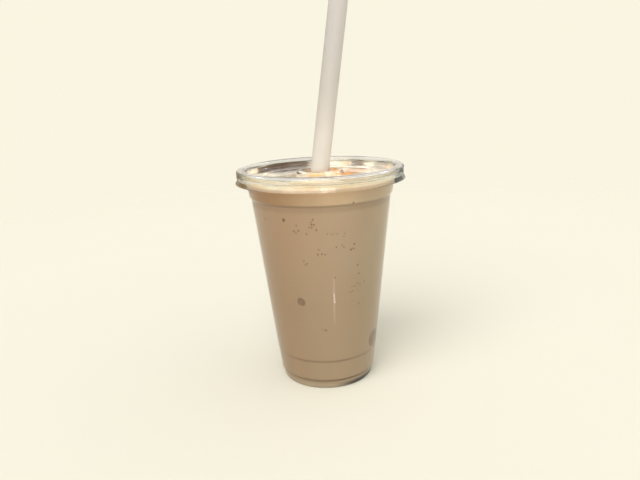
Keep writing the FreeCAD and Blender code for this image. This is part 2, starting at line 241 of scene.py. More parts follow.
def round_corners(corners):
    """A path of (radius, height) points through the corners, with each fillet as an arc."""
    path = [Vector(corners[0][:2])]
    for before, corner, after in zip(corners, corners[1:], corners[2:]):
        here = Vector(corner[:2])
        back = Vector(before[:2]) - here
        on = Vector(after[:2]) - here
        turn = math.pi - back.angle(on)
        reach = min(corner[2] * math.tan(turn / 2), 0.48 * back.length, 0.48 * on.length)
        if turn < 0.01 or reach < 0.005:
            path.append(here)
            continue
        radius = reach / math.tan(turn / 2)
        inward = (back.normalized() + on.normalized()).normalized()
        middle = here + inward * (radius / math.cos(turn / 2))
        start = here + back.normalized() * reach - middle
        side = 1 if back.x * on.y - back.y * on.x < 0 else -1
        count = max(2, math.ceil(turn / TURN_STEP))
        for index in range(count + 1):
            spun = Matrix.Rotation(side * turn * index / count, 2) @ start
            path.append(middle + spun)
    path.append(Vector(corners[-1][:2]))
    return path


def divide(path, longest):
    """The path with its long runs cut into steps no longer than asked."""
    divided = [path[0]]
    for first, last in zip(path, path[1:]):
        steps = max(1, math.ceil((last - first).length / longest))
        divided += [first.lerp(last, index / steps) for index in range(1, steps + 1)]
    return divided


def swell(path, distance):
    """The path moved to its right-hand side by a distance, such as into the wall."""
    moved = []
    for index, point in enumerate(path):
        before = path[max(index - 1, 0)]
        after = path[min(index + 1, len(path) - 1)]
        along = (after - before).normalized()
        normal = Vector((along.y, -along.x))
        out = max(point.x + normal.x * distance, 0.0)
        moved.append(Vector((out, point.y + normal.y * distance)))
    moved[0].x = 0.0
    return moved


ANGLES = [math.tau * index / SEGMENTS for index in range(SEGMENTS)]


def ring(radius, height):
    """A level ring about the cup's axis from the straw's heading on, or one point on the axis."""
    if radius < 1e-6:
        return [Vector((0, 0, height))]
    turned = [STRAW_HEADING + angle for angle in ANGLES]
    return [Vector((radius * math.cos(a), radius * math.sin(a), height)) for a in turned]


STRAW_FOOT = Vector((0, 0, BOSS_TOP))
STRAW_TURN = Matrix.Rotation(STRAW_HEADING, 3, "Z")
STRAW_ALONG = STRAW_TURN @ Vector((math.sin(STRAW_LEAN), 0, math.cos(STRAW_LEAN)))
STRAW_ACROSS = STRAW_TURN @ Vector((math.cos(STRAW_LEAN), 0, -math.sin(STRAW_LEAN)))
STRAW_ASIDE = STRAW_ALONG.cross(STRAW_ACROSS)


def straw_reach(height, across=0.0):
    """How far along the straw a level lies, at a distance across from its axis."""
    return (height - BOSS_TOP + across * math.sin(STRAW_LEAN)) / math.cos(STRAW_LEAN)


STRAW_BOTTOM = straw_reach(STRAW_LOW, STRAW_RADIUS)


def beside_straw(across, aside, along):
    """A point given in the straw's own directions, from where its axis crosses the boss."""
    return STRAW_FOOT + across * STRAW_ACROSS + aside * STRAW_ASIDE + along * STRAW_ALONG


def straw_ring(radius, along):
    """A ring square to the straw, at a distance along it."""
    return [beside_straw(radius * math.cos(a), radius * math.sin(a), along) for a in ANGLES]


def level_straw_ring(radius, height):
    """The ring that a level surface cuts in a tube round the straw."""
    points = []
    for angle in ANGLES:
        across = radius * math.cos(angle)
        aside = radius * math.sin(angle)
        points.append(beside_straw(across, aside, straw_reach(height, across)))
    return points


def blend_rings(first, last, share):
    """A ring between two rings."""
    return [a.lerp(b, share) for a, b in zip(first, last)]


def skin(mesh, rings, joined=False):
    """Cover neighbouring rings with faces; a ring of one point is closed as a fan."""
    rows = [[mesh.verts.new(point * MM) for point in points] for points in rings]
    pairs = list(zip(rows, rows[1:]))
    if joined:
        pairs.append((rows[-1], rows[0]))
    for lower, upper in pairs:
        count = max(len(lower), len(upper))
        for index in range(count):
            after = (index + 1) % count
            corners = [lower[index % len(lower)], lower[after % len(lower)],
                       upper[after % len(upper)], upper[index % len(upper)]]
            mesh.faces.new(list(dict.fromkeys(corners)))
    return rows


def to_object(name, mesh, material):
    """Turn a bmesh into a smooth object that rides on the CAD body."""
    bmesh.ops.recalc_face_normals(mesh, faces=mesh.faces[:])
    data = bpy.data.meshes.new(name)
    mesh.to_mesh(data)
    mesh.free()
    data.shade_smooth()
    data.materials.append(material)
    piece = bpy.data.objects.new(name, data)
    bpy.context.scene.collection.objects.link(piece)
    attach(piece, "root")
    return piece


# Materials ---------------------------------------------------------------------------

PLASTIC_IOR = 1.5
DRINK_IOR = 1.36
FROTH_IOR = 1.34
STRAW_IOR = 1.49

# Colours are display values from 0 to 255.
CLEAR_TINT = (252, 252, 250)
CUP_RIPPLE = (0.02, 0.00002)
LID_RIPPLE = (0.012, 0.00004)
LAMP_PASSES = (0.985, 0.985, 0.98, 1)
ALL_ROUND = (1, 1, 1)

# Painted light: the straw paler towards the lid, over its height up to the given top.
STRAW_LIGHT_RISE = (
    (0.0, (254, 250, 241)), (0.3, (250, 244, 236)),
    (0.65, (232, 227, 220)), (1.0, (230, 226, 222)),
)
STRAW_LIGHT_RISE_TOP = 0.2
STRAW_CLOUD = (236, 230, 224)
STRAW_GLOW = (253, 250, 245)
STRAW_GLOW_SHARE = 0.3
DRAW_LINES = (1, 1, 0.02)

COFFEE_RISE = (
    (0.0, (166, 146, 119)), (0.45, (168, 147, 118)), (0.8, (181, 159, 131)),
    (0.925, (185, 161, 131)), (0.945, (212, 187, 151)), (0.975, (208, 181, 146)),
    (1.0, (199, 167, 126)),
)
COFFEE_SWIRL = (178, 148, 116)
# Painted light: the drink warmer on the left, most in the flared band, and greyer on the right as
# painted sheen.
COFFEE_LEFT_LIGHT = (160, 118, 74)
COFFEE_BAND_LEFT_LIGHT = (150, 104, 50)
COFFEE_RIGHT_SHEEN = (165, 147, 116)
COFFEE_SPECK = (140, 112, 84)
# Painted shade along the cup's folds.
COFFEE_FOLD_SHADE = (118, 88, 60)
COFFEE_FOOT = (182, 168, 144)
# Painted shadow low on the drink's right, where the foot meets the floor.
COFFEE_CONTACT_SHADOW = (38, 32, 26)

# Where the drink's tints and its painted light and shade begin and end: as shares of its level,
# then in metres.
BAND_LEVELS = (0.925, 0.95)
WARM_LIGHT_LEFT = (-0.035, 0.008)
DULL_SHEEN_RIGHT = (0.005, 0.035)
FOOT_HEIGHTS = (0.0025, 0.0046)
CONTACT_SHADOW_SIDE = (0.002, 0.018)
CONTACT_SHADOW_HEIGHTS = (0.0018, 0.0044)

# Levels where painted shade darkens the drink along a fold of the cup: height, half width and
# strength.
FOLD_SHADE_LINES = (
    (FOOT_HEIGHT + 0.1, 1.3, 0.7),
    (CREASE_HEIGHT + 0.2, 1.1, 0.5),
    (SHOULDER_FOOT + 0.2, 1.0, 0.15),
    (SHOULDER_FOOT - 1.2, 3.2, 0.2),
)

FROTH_SHADES = (
    (0.36, (240, 212, 172)), (0.46, (249, 230, 198)),
    (0.58, (253, 242, 220)), (0.72, (254, 248, 234)),
)
FROTH_STREAK = (240, 202, 152)
FROTH_FOOT = (208, 176, 132)
FROTH_PIT = (205, 165, 118)
FROTH_CELL = 0.0011
FROTH_STREAKS = (1, 1, 4.5)
FROTH_BEND = 0.008
FROTH_WANDER = (0.02, 0.02, 0.0)
FOOT_FADE = ((FOAM_FOOT + 0.6) * MM, (FOAM_FOOT + 2.1) * MM)
PATCH_EDGE = 0.5
PATCH_SHARE = 0.92

# Where the froth under the lid changes colour: place, radius and colour. The dark browns at the
# back are coffee with painted shade, the greys at the back right painted reflections, and the big
# pale cream at the front right painted light; the rest tint it tan, orange, grey-cream and cream.
FROTH_TINTS_LIGHT_AND_SHADE = (
    ((38, -30, 128), 26, (255, 241, 216)),
    ((0, 0, 129), 19, (200, 168, 126)),
    ((18, 13, 127), 15, (232, 162, 84)),
    ((14, 4, 129), 14, (224, 146, 62)),
    ((-9, 2, 129), 10, (206, 170, 118)),
    ((0, -11, 129), 9, (206, 176, 138)),
    ((-5, -12, 129), 5, (214, 176, 112)),
    ((4, -13, 129), 4, (244, 226, 198)),
    ((-13, -5, 128), 7, (214, 200, 178)),
    ((-22, 24, 127), 20, (116, 86, 62)),
    ((-14, 16, 127), 12, (106, 78, 56)),
    ((-32, 32, 130), 18, (80, 59, 44)),
    ((-16, 42, 130), 14, (76, 56, 43)),
    ((25, 37, 130), 11, (136, 126, 116)),
    ((5, 44, 130), 13, (252, 240, 216)),
    ((4, 24, 127), 11, (250, 236, 208)),
    ((38, 22, 130), 10, (184, 176, 164)),
)


class Shader:
    """A material's node tree, with short calls to add and join its nodes."""

    def __init__(self, owner, output="OutputMaterial"):
        self.owner = owner
        owner.use_nodes = True
        self.tree = owner.node_tree
        self.tree.nodes.clear()
        self.output = self.node(output)

    def node(self, kind, inputs=None, **settings):
        """A node with its settings made; an input is a value or another node's output."""
        made = self.tree.nodes.new(f"ShaderNode{kind}")
        for key, value in settings.items():
            setattr(made, key, value)
        for key, value in (inputs or {}).items():
            self.feed(made.inputs[key], value)
        return made

    def feed(self, socket, value):
        """Give a socket a constant, or join it to another node's output."""
        if isinstance(value, bpy.types.NodeSocket):
            self.tree.links.new(value, socket)
        else:
            socket.default_value = value

    def place(self, scale=ALL_ROUND):
        """Object coordinates, stretched by a scale."""
        coordinates = self.node("TexCoord")
        mapping = self.node("Mapping", {"Vector": coordinates.outputs["Object"], "Scale": scale})
        return mapping.outputs[0]

    def axes(self, vector):
        """The three parts of a vector."""
        return self.node("SeparateXYZ", {"Vector": vector}).outputs

    def noise(self, size, detail=3.0, scale=ALL_ROUND, roughness=0.5):
        """Noise whose patches are about a size in metres across."""
        place = self.place(scale)
        made = self.node("TexNoise", {"Vector": place, "Scale": 1 / size, "Detail": detail,
                                      "Roughness": roughness})
        return made.outputs["Fac"]

    def math(self, operation, first, second=0.0):
        """Two values put together."""
        return self.node("Math", {0: first, 1: second}, operation=operation).outputs[0]

    def gap(self, value, centre):
        """How far a value lies from a centre."""
        return self.math("ABSOLUTE", self.math("SUBTRACT", value, centre))

    def spot(self, place, radius, vector):
        """One at a place, in millimetres, falling to nothing over the outer part of its radius."""
        middle = [value * MM for value in place]
        apart = self.node("VectorMath", {0: vector, 1: middle}, operation="DISTANCE")
        away = apart.outputs["Value"]
        return self.remap(away, radius * (1 - PATCH_EDGE) * MM, radius * MM, 1.0, 0.0, True)

    def remap(self, value, low, high, to_low, to_high, smooth=False):
        """A value's range mapped on another, clamped at both ends."""
        kind = "SMOOTHSTEP" if smooth else "LINEAR"
        made = self.node("MapRange", {"Value": value, "From Min": low, "From Max": high,
                                      "To Min": to_low, "To Max": to_high}, interpolation_type=kind)
        return made.outputs["Result"]

    def vary(self, noise_value, to_low, to_high):
        """A noise's usual range mapped on another."""
        return self.remap(noise_value, 0.3, 0.7, to_low, to_high)

    def ramp(self, value, stops):
        """A colour ramp over a value."""
        made = self.node("ValToRGB", {"Fac": value})
        elements = made.color_ramp.elements
        while len(elements) < len(stops):
            elements.new(1.0)
        for element, (position, colour) in zip(elements, stops):
            element.position = position
            element.color = paint(colour)
        return made.outputs["Color"]

    def mix(self, share, first, last):
        """Two colours mixed."""
        made = self.node("Mix", data_type="RGBA")
        for index, value in ((0, share), (6, first), (7, last)):
            self.feed(made.inputs[index], value)
        return made.outputs[2]

    def blend(self, share, first, last):
        """Two shaders mixed."""
        inputs = {0: share, 1: first.outputs[0], 2: last.outputs[0]}
        return self.node("MixShader", inputs)

    def bump(self, height, distance):
        """A bump from a height, with its real depth in metres."""
        return self.node("Bump", {"Height": height, "Distance": distance}).outputs["Normal"]

    def finish(self, shader):
        """Send a shader to the output and return the material or world."""
        self.tree.links.new(shader.outputs[0], self.output.inputs["Surface"])
        return self.owner


def material_shader(name):
    """An empty node tree in a new material."""
    return Shader(bpy.data.materials.new(name))


def linear(colour):
    """Linear values of a colour given as 0 to 255 display values."""
    return tuple(((v / 255 + 0.055) / 1.055) ** 2.4 if v > 10 else v / 255 / 12.92 for v in colour)


def paint(colour):
    """An opaque socket value of a colour given as display values."""
    return (*linear(colour), 1)


def clear_plastic(name, ripple_size, ripple_depth):
    """Clear thermoformed plastic: glossy, faintly rippled, and open to the light of lamps."""
    shader = material_shader(name)
    ripple = shader.noise(ripple_size, 2.0, (1, 1, 0.35))
    wear = shader.noise(0.006, 5.0)
    surface = shader.node("BsdfPrincipled", {
        "Base Color": paint(CLEAR_TINT),
        "Roughness": shader.remap(wear, 0.35, 0.75, 0.015, 0.07),
        "IOR": PLASTIC_IOR,
        "Transmission Weight": 1.0,
        "Normal": shader.bump(ripple, ripple_depth),
    })
    passing = shader.node("BsdfTransparent", {"Color": LAMP_PASSES})
    rays = shader.node("LightPath")
    return shader.finish(shader.blend(rays.outputs["Is Shadow Ray"], surface, passing))


def straw_plastic():
    """Translucent white plastic with faint draw lines along the tube, and painted light that makes
    it paler towards the lid.
    """
    shader = material_shader("straw_plastic")
    lines = shader.noise(0.0012, 2.0, DRAW_LINES)
    cloud = shader.noise(0.02, 3.0)
    height = shader.axes(shader.place())["Z"]
    rise = shader.remap(height, BOSS_TOP * MM, STRAW_LIGHT_RISE_TOP, 0.0, 1.0)
    # Painted light, paler towards the lid.
    shade = shader.ramp(rise, STRAW_LIGHT_RISE)
    colour = shader.mix(shader.vary(cloud, 0.0, 0.3), shade, paint(STRAW_CLOUD))
    surface = shader.node("BsdfPrincipled", {
        "Base Color": colour,
        "Roughness": shader.vary(cloud, 0.3, 0.42),
        "IOR": STRAW_IOR,
        "Transmission Weight": 0.15,
        "Normal": shader.bump(lines, 0.00004),
    })
    glow = shader.node("BsdfTranslucent", {"Color": paint(STRAW_GLOW)})
    return shader.finish(shader.blend(STRAW_GLOW_SHARE, surface, glow))


def side_light_tints(shader, colour, aside, level):
    """Painted light on the drink: warmer to the left, most of all in the flared band, and duller to
    the right as painted sheen.
    """
    in_band = shader.remap(level, *BAND_LEVELS, 0.0, 1.0, True)
    left = shader.remap(aside, *WARM_LIGHT_LEFT, 0.38, 0.0, True)
    left = shader.math("MULTIPLY", left, shader.remap(in_band, 0.0, 1.0, 1.0, 2.1))
    warm_light = shader.mix(in_band, paint(COFFEE_LEFT_LIGHT), paint(COFFEE_BAND_LEFT_LIGHT))
    colour = shader.mix(left, colour, warm_light)
    right = shader.remap(aside, *DULL_SHEEN_RIGHT, 0.0, 0.5, True)
    return shader.mix(right, colour, paint(COFFEE_RIGHT_SHEEN))


def fold_shade(shader, height):
    """How strongly painted shade darkens the drink along a fold of the cup at a height."""
    line = 0.0
    for level, width, depth in FOLD_SHADE_LINES:
        away = shader.gap(height, level * MM)
        here = shader.remap(away, width * 0.2 * MM, width * MM, depth, 0.0, True)
        line = shader.math("ADD", here, line)
    return line


def coffee_blend():
    """Blended milky coffee: paler under the froth, with swirls and specks; painted shade in the
    folds and low on the right at the foot, and painted light warmer to the left and greyer to the
    right.
    """
    shader = material_shader("coffee_blend")
    axes = shader.axes(shader.place())
    aside, height = axes["X"], axes["Z"]
    level = shader.remap(height, 0.0, FOAM_FOOT * MM, 0.0, 1.0)
    swirl = shader.noise(0.03, 3.0, (1, 1, 0.6), 0.6)
    colour = shader.ramp(level, COFFEE_RISE)
    swirled = shader.remap(swirl, 0.35, 0.7, 0.0, 0.35, True)
    colour = shader.mix(swirled, colour, paint(COFFEE_SWIRL))
    # Painted light: warmer on the left, greyer on the right.
    colour = side_light_tints(shader, colour, aside, level)
    speck = shader.remap(shader.noise(0.0009, 2.0), 0.62, 0.75, 0.0, 0.12)
    colour = shader.mix(speck, colour, paint(COFFEE_SPECK))
    # Painted shade in the cup's folds.
    colour = shader.mix(fold_shade(shader, height), colour, paint(COFFEE_FOLD_SHADE))
    foot = shader.remap(height, *FOOT_HEIGHTS, 0.6, 0.0, True)
    colour = shader.mix(foot, colour, paint(COFFEE_FOOT))
    # Painted shadow low on the right, where the foot meets the floor.
    shaded_side = shader.remap(aside, *CONTACT_SHADOW_SIDE, 0.0, 0.97, True)
    low = shader.remap(height, *CONTACT_SHADOW_HEIGHTS, 1.0, 0.0, True)
    contact_shadow = shader.math("MULTIPLY", shaded_side, low)
    surface = shader.node("BsdfPrincipled", {
        "Base Color": shader.mix(contact_shadow, colour, paint(COFFEE_CONTACT_SHADOW)),
        "Roughness": shader.vary(swirl, 0.4, 0.55),
        "IOR": DRINK_IOR,
        "Subsurface Weight": 0.15,
        "Subsurface Radius": (0.003, 0.002, 0.0012),
        "Subsurface Scale": 1.0,
    })
    return shader.finish(surface)


def bent_place(shader):
    """Object coordinates bent sideways by noise, so that the froth's patches have ragged edges."""
    wobble = shader.node("TexNoise", {"Vector": shader.place(), "Scale": 1 / FROTH_BEND,
                                      "Detail": 3.0})
    centred = shader.node("VectorMath", {0: wobble.outputs["Color"], 1: (0.5, 0.5, 0.5)},
                          operation="SUBTRACT")
    bent = shader.node("VectorMath", {0: centred.outputs[0], 1: FROTH_WANDER, 2: shader.place()},
                       operation="MULTIPLY_ADD")
    return bent.outputs[0]


def froth():
    """Cream froth with fine bubbles and streaks, and patches under the lid: browner where coffee in
    painted shade shows through, grey as painted reflection, paler as painted light.
    """
    shader = material_shader("froth")
    pits = {"Vector": shader.place(), "Scale": 1 / FROTH_CELL}
    cells = shader.node("TexVoronoi", pits, feature="F1")
    holes = shader.remap(cells.outputs["Distance"], 0.0, 0.45, 1.0, 0.0, True)
    patch = shader.noise(0.018, 3.0, ALL_ROUND, 0.6)
    streak = shader.noise(0.011, 4.0, FROTH_STREAKS, 0.65)
    colour = shader.ramp(patch, FROTH_SHADES)
    colour = shader.mix(shader.remap(streak, 0.42, 0.66, 0.0, 0.34), colour, paint(FROTH_STREAK))
    bent = bent_place(shader)
    # Patches of painted light and shade, among the froth's own tints.
    for place, radius, shade in FROTH_TINTS_LIGHT_AND_SHADE:
        share = shader.math("MULTIPLY", shader.spot(place, radius, bent), PATCH_SHARE)
        colour = shader.mix(share, colour, paint(shade))
    height = shader.axes(shader.place())["Z"]
    foot = shader.remap(height, *FOOT_FADE, 0.9, 0.0, True)
    colour = shader.mix(foot, colour, paint(FROTH_FOOT))
    colour = shader.mix(shader.remap(holes, 0.0, 1.0, 0.0, 0.2), colour, paint(FROTH_PIT))
    surface = shader.node("BsdfPrincipled", {
        "Base Color": colour,
        "Roughness": shader.vary(patch, 0.45, 0.6),
        "IOR": FROTH_IOR,
        "Subsurface Weight": 0.2,
        "Subsurface Radius": (0.003, 0.0022, 0.0015),
        "Subsurface Scale": 1.0,
        "Normal": shader.bump(holes, -0.00012),
    })
    return shader.finish(surface)


def sunk_dark(name, dark, film):
    """Something dark in the drink, paler where more of the drink lies over it; for the air bubbles
    the dark is painted shade.
    """
    shader = material_shader(name)
    cover = shader.node("Attribute", attribute_name="film").outputs["Fac"]
    cloud = shader.noise(0.002, 3.0)
    depth = shader.mix(shader.vary(cloud, 0.0, 0.2), paint(dark), paint(film))
    colour = shader.mix(shader.remap(cover, 0.0, 1.0, 0.0, 1.0, True), depth, paint(film))
    surface = shader.node("BsdfPrincipled", {
        "Base Color": colour,
        "Roughness": shader.vary(cloud, 0.35, 0.5),
        "IOR": DRINK_IOR,
    })
    return shader.finish(surface)


# Pieces ------------------------------------------------------------------------------


def make_cup():
    """The cup as one fine turned shell."""
    path = divide(round_corners(cup_inside() + cup_outside()), 3.0)
    mesh = bmesh.new()
    skin(mesh, [ring(point.x, point.y) for point in path])
    piece = to_object("cup_clear", mesh, clear_plastic("cup_plastic", *CUP_RIPPLE))
    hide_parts("cup")


# The slit port: how far its edge bends out above and below, and how finely it is drawn.
HINGE_TOP_BEND = 0.35
HINGE_FOOT_BEND = 0.8
HINGE_POWER = 8
FLAP_STEPS = 9
FLAP_SIDE = SEGMENTS // 4
BOSS_SHARES = (0.08, 0.3, 0.6)


def port_ring(height, hinge):
    """The square port's edge at a height, moved out by the hinge's bend between its corners."""
    points = []
    for angle in ANGLES:
        quarter = (angle + math.pi / 4) // (math.pi / 2)
        local = angle - quarter * math.pi / 2
        aside = PORT_HALF * math.tan(local)
        bend = hinge * (1 - (aside / PORT_HALF) ** HINGE_POWER)
        turned = Matrix.Rotation(quarter * math.pi / 2, 2) @ Vector((PORT_HALF + bend, aside))
        points.append(beside_straw(turned.x, turned.y, straw_reach(height, turned.x)))
    return points


def flap_rows(quarter):
    """The steps down one flap: for each its inner and outer row of points."""
    turn = Matrix.Rotation(quarter * math.pi / 2, 2)
    rows = []
    for step in range(1, FLAP_STEPS + 1):
        share = step / FLAP_STEPS
        half = PORT_HALF + (FLAP_TIP / 2 - PORT_HALF) * share
        inner, outer = [], []
        for index in range(FLAP_SIDE + 1):
            across = math.tan((index / FLAP_SIDE - 0.5) * math.pi / 2)
            for row, thickness in ((inner, 0.0), (outer, LID_GAUGE)):
                flat = turn @ Vector((PORT_HALF + thickness, across * half))
                slope = (1 - share) * (flat.x * math.tan(STRAW_LEAN) - thickness)
                row.append(beside_straw(flat.x, flat.y, slope - share * FLAP_REACH))
        rows.append((inner, outer))
    return rows


def add_flaps(mesh, top_row, bottom_row):
    """The four pressed-down flaps of the slit, hinged between the port's two edges."""
    for quarter in range(4):
        start = quarter * FLAP_SIDE - FLAP_SIDE // 2
        inner = [top_row[(start + index) % SEGMENTS] for index in range(FLAP_SIDE + 1)]
        outer = [bottom_row[(start + index) % SEGMENTS] for index in range(FLAP_SIDE + 1)]
        for inner_points, outer_points in flap_rows(quarter):
            next_inner = [mesh.verts.new(point * MM) for point in inner_points]
            next_outer = [mesh.verts.new(point * MM) for point in outer_points]
            for index in range(FLAP_SIDE):
                after = index + 1
                mesh.faces.new([inner[index], inner[after], next_inner[after], next_inner[index]])
                mesh.faces.new([outer[index], next_outer[index], next_outer[after], outer[after]])
            mesh.faces.new([inner[0], next_inner[0], next_outer[0], outer[0]])
            mesh.faces.new([inner[-1], outer[-1], next_outer[-1], next_inner[-1]])
            inner, outer = next_inner, next_outer
        for index in range(FLAP_SIDE):
            mesh.faces.new([inner[index], inner[index + 1], outer[index + 1], outer[index]])


def make_lid():
    """The lid as one turned shell with its square port and four flaps."""
    path = divide(round_corners(lid_upper() + lid_lower()), 2.5)
    top_edge = port_ring(BOSS_TOP, HINGE_TOP_BEND)
    bottom_edge = port_ring(BOSS_TOP - LID_GAUGE, HINGE_FOOT_BEND)
    first = ring(path[0].x, path[0].y)
    last = ring(path[-1].x, path[-1].y)
    rings = [top_edge] + [blend_rings(top_edge, first, share) for share in BOSS_SHARES]
    rings += [ring(point.x, point.y) for point in path]
    rings += [blend_rings(bottom_edge, last, share) for share in reversed(BOSS_SHARES)]
    rings.append(bottom_edge)
    mesh = bmesh.new()
    rows = skin(mesh, rings)
    add_flaps(mesh, rows[0], rows[-1])
    piece = to_object("lid_clear", mesh, clear_plastic("lid_plastic", *LID_RIPPLE))
    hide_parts("lid")


STRAW_RUNS = 46


def make_straw():
    """The straw as one open tube with softened ends."""
    inner = STRAW_RADIUS - STRAW_GAUGE
    soft = STRAW_SOFT_EDGE
    bottom, top = STRAW_BOTTOM, STRAW_BOTTOM + STRAW_LENGTH
    straight = top - bottom - 2 * soft
    alongs = [bottom + soft + straight * i / STRAW_RUNS for i in range(STRAW_RUNS + 1)]
    outside = [(STRAW_RADIUS, along) for along in alongs]
    inside = [(inner, along) for along in reversed(alongs)]
    tube = [(STRAW_RADIUS - soft, bottom)] + outside + [(STRAW_RADIUS - soft, top)]
    tube += [(inner + soft, top)] + inside + [(inner + soft, bottom)]
    mesh = bmesh.new()
    skin(mesh, [straw_ring(radius, along) for radius, along in tube], joined=True)
    piece = to_object("straw_white", mesh, straw_plastic())
    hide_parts("straw")


# The drink along the straw: its steps, and how near they come to the straw's foot and the level.
DROP_STEPS = 24
DROP_OVER_BOTTOM = 0.05
DROP_UNDER_LEVEL = 1.2
LEVEL_SHARES = (0.3, 0.7, 1.0)


def drink_path(longest):
    """The cup's drink side as a path, moved just into the wall."""
    return swell(divide(round_corners(cup_inside()), longest), WALL_SINK)


def below(path, height):
    """The part of a rising path under a height, ending on it."""
    kept = [point for point in path if point.y < height or point.x < wall(0) - 1]
    last = kept[-1]
    following = path[len(kept)]
    share = (height - last.y) / (following.y - last.y)
    return kept + [last.lerp(following, share)]


def make_coffee(material):
    """The drink: it reaches just into wall and straw, and fills the straw to its own level."""
    level = FOAM_FOOT
    outer = STRAW_RADIUS - STRAW_SINK
    inner = STRAW_RADIUS - STRAW_GAUGE + STRAW_SINK / 2
    rings = [ring(point.x, point.y) for point in below(drink_path(2.0), level)]
    mouth = level_straw_ring(outer, level)
    rings += [blend_rings(rings[-1], mouth, share) for share in LEVEL_SHARES]
    low = STRAW_BOTTOM + DROP_OVER_BOTTOM
    high = straw_reach(level) - DROP_UNDER_LEVEL
    drops = [high + (low - high) * index / DROP_STEPS for index in range(DROP_STEPS + 1)]
    rings += [straw_ring(outer, along) for along in drops]
    rings += [straw_ring(inner, along) for along in reversed(drops)]
    column = level_straw_ring(inner, level)
    middle = sum(column, Vector()) / len(column)
    rings += [column, blend_rings(column, [middle] * SEGMENTS, 0.5), [middle]]
    mesh = bmesh.new()
    skin(mesh, rings)
    piece = to_object("coffee_drink", mesh, material)
    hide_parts("coffee")


# The froth's surface: mounds with small craters.
FROTH_BASE = 0.1
MOUND_SCALE = 0.09
MOUND_HEIGHT = 0.35
MOUND_DETAIL = (0.8, 2.0, 3)
CRATER_SCALE = 0.55
CRATER_RADIUS = 0.35
CRATER_DEPTH = 0.25
FROTH_STEPS = 120
FROTH_LIFT = 0.02
UNDERSIDE_SHARES = (0.0, 0.5, 0.9, 1.0)

# How the froth swells under the boss: steeply at its flank, then slowly on towards the straw.
SWELL_SHARE = 0.6
SWELL_START = 0.4
SWELL_RUN = 1.2

# The froth squeezed up between plug and cup, its top in waves.
SQUEEZE_STEP = 0.5
SQUEEZE_FLOOR = FOAM_TOP + 0.4
SQUEEZE_LEAST = 0.04
WAVE_SCALE = 0.2
WAVE_HEIGHT = 0.3
WAVE_MIDDLE = 0.85


def limited(value):
    """The value kept between 0 and 1."""
    return max(0.0, min(1.0, value))


def lid_underside(radius):
    """Height of the lid's underside above the froth at a radius."""
    if radius > PANEL_STEP_RADIUS:
        return PANEL_OUTER - LID_GAUGE
    up_flank = limited((BOSS_RADIUS - LID_GAUGE - radius) / BOSS_FLANK)
    return PANEL_INNER - LID_GAUGE + up_flank * (BOSS_TOP - PANEL_INNER)


def froth_rise(point):
    """How far the froth stands above its level at a place: soft mounds with small craters."""
    mound_place = Vector((point.x * MOUND_SCALE, point.y * MOUND_SCALE, 3.0))
    mounds = noise.fractal(mound_place, *MOUND_DETAIL)
    cells = noise.voronoi(Vector((point.x * CRATER_SCALE, point.y * CRATER_SCALE, 7.0)))[0][0]
    return FROTH_BASE + MOUND_HEIGHT * mounds - CRATER_DEPTH * max(0.0, CRATER_RADIUS - cells)


def froth_top(point):
    """Height of the froth at a place: it swells up under the boss and stops at the lid."""
    out = math.hypot(point.x, point.y)
    flank = limited((BOSS_RADIUS + SWELL_START - out) / SWELL_RUN)
    slope = limited((BOSS_RADIUS - out) / (BOSS_RADIUS - STRAW_RADIUS - 2))
    swelling = SWELL_SHARE * flank + (1 - SWELL_SHARE) * slope
    rise = froth_rise(point) + swelling * (BOSS_TOP - LID_GAUGE - FOAM_TOP + 0.3)
    return min(FOAM_TOP + rise, lid_underside(out) + LID_SINK)


def squeezed_froth():
    """The froth pressed up between plug and cup: its paths up the wall and down the plug."""
    up = [point for point in drink_path(SQUEEZE_STEP)
          if point.x > wall(0) and FOAM_FOOT + FROTH_LIFT < point.y < SQUEEZE_TOP]
    plug = [point for point in round_corners(lid_lower())
            if FOAM_TOP + 0.9 < point.y < SQUEEZE_TOP - 0.2
            and PANEL_EDGE < point.x < PLUG_RADIUS + 1]
    down = [Vector((point.x - LID_SINK, point.y)) for point in divide(plug, SQUEEZE_STEP)]
    return up, down


def squeezed_ring(point):
    """A wavy ring of the squeezed froth, which rises less in a narrow strip at the back."""
    points = ring(point.x, point.y)
    for item in points:
        if item.z > SQUEEZE_FLOOR:
            back = limited((item.y - BARE_FROM) / BARE_WIDTH)
            back *= limited((BARE_HALF - abs(item.x)) / BARE_WIDTH)
            wave_place = Vector((item.x * WAVE_SCALE, item.y * WAVE_SCALE, 1.0))
            wave = WAVE_MIDDLE + WAVE_HEIGHT * noise.noise(wave_place)
            share = min(1.0, wave * (1 - back) + SQUEEZE_LEAST)
            item.z = SQUEEZE_FLOOR + (item.z - SQUEEZE_FLOOR) * share
    return points


def make_foam(material):
    """The froth: into the wall, up to the straw, in mounds that meet the lid in places."""
    up, down = squeezed_froth()
    foot = ring(up[0].x, FOAM_FOOT + FROTH_LIFT)
    hole_radius = STRAW_RADIUS - STRAW_SINK
    low_hole = level_straw_ring(hole_radius, FOAM_FOOT + FROTH_LIFT)
    rings = [blend_rings(low_hole, foot, share) for share in UNDERSIDE_SHARES]
    rings += [squeezed_ring(point) for point in up + down]
    edge = ring(PANEL_EDGE, FOAM_TOP)
    hole = level_straw_ring(hole_radius, BOSS_TOP - LID_GAUGE)
    for point in hole:
        point.z = FOAM_TOP
    for index in range(FROTH_STEPS + 1):
        level = blend_rings(edge, hole, index / FROTH_STEPS)
        for point in level:
            point.z = froth_top(point)
        rings.append(level)
    mesh = bmesh.new()
    skin(mesh, rings, joined=True)
    piece = to_object("foam_froth", mesh, material)
    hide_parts("foam")


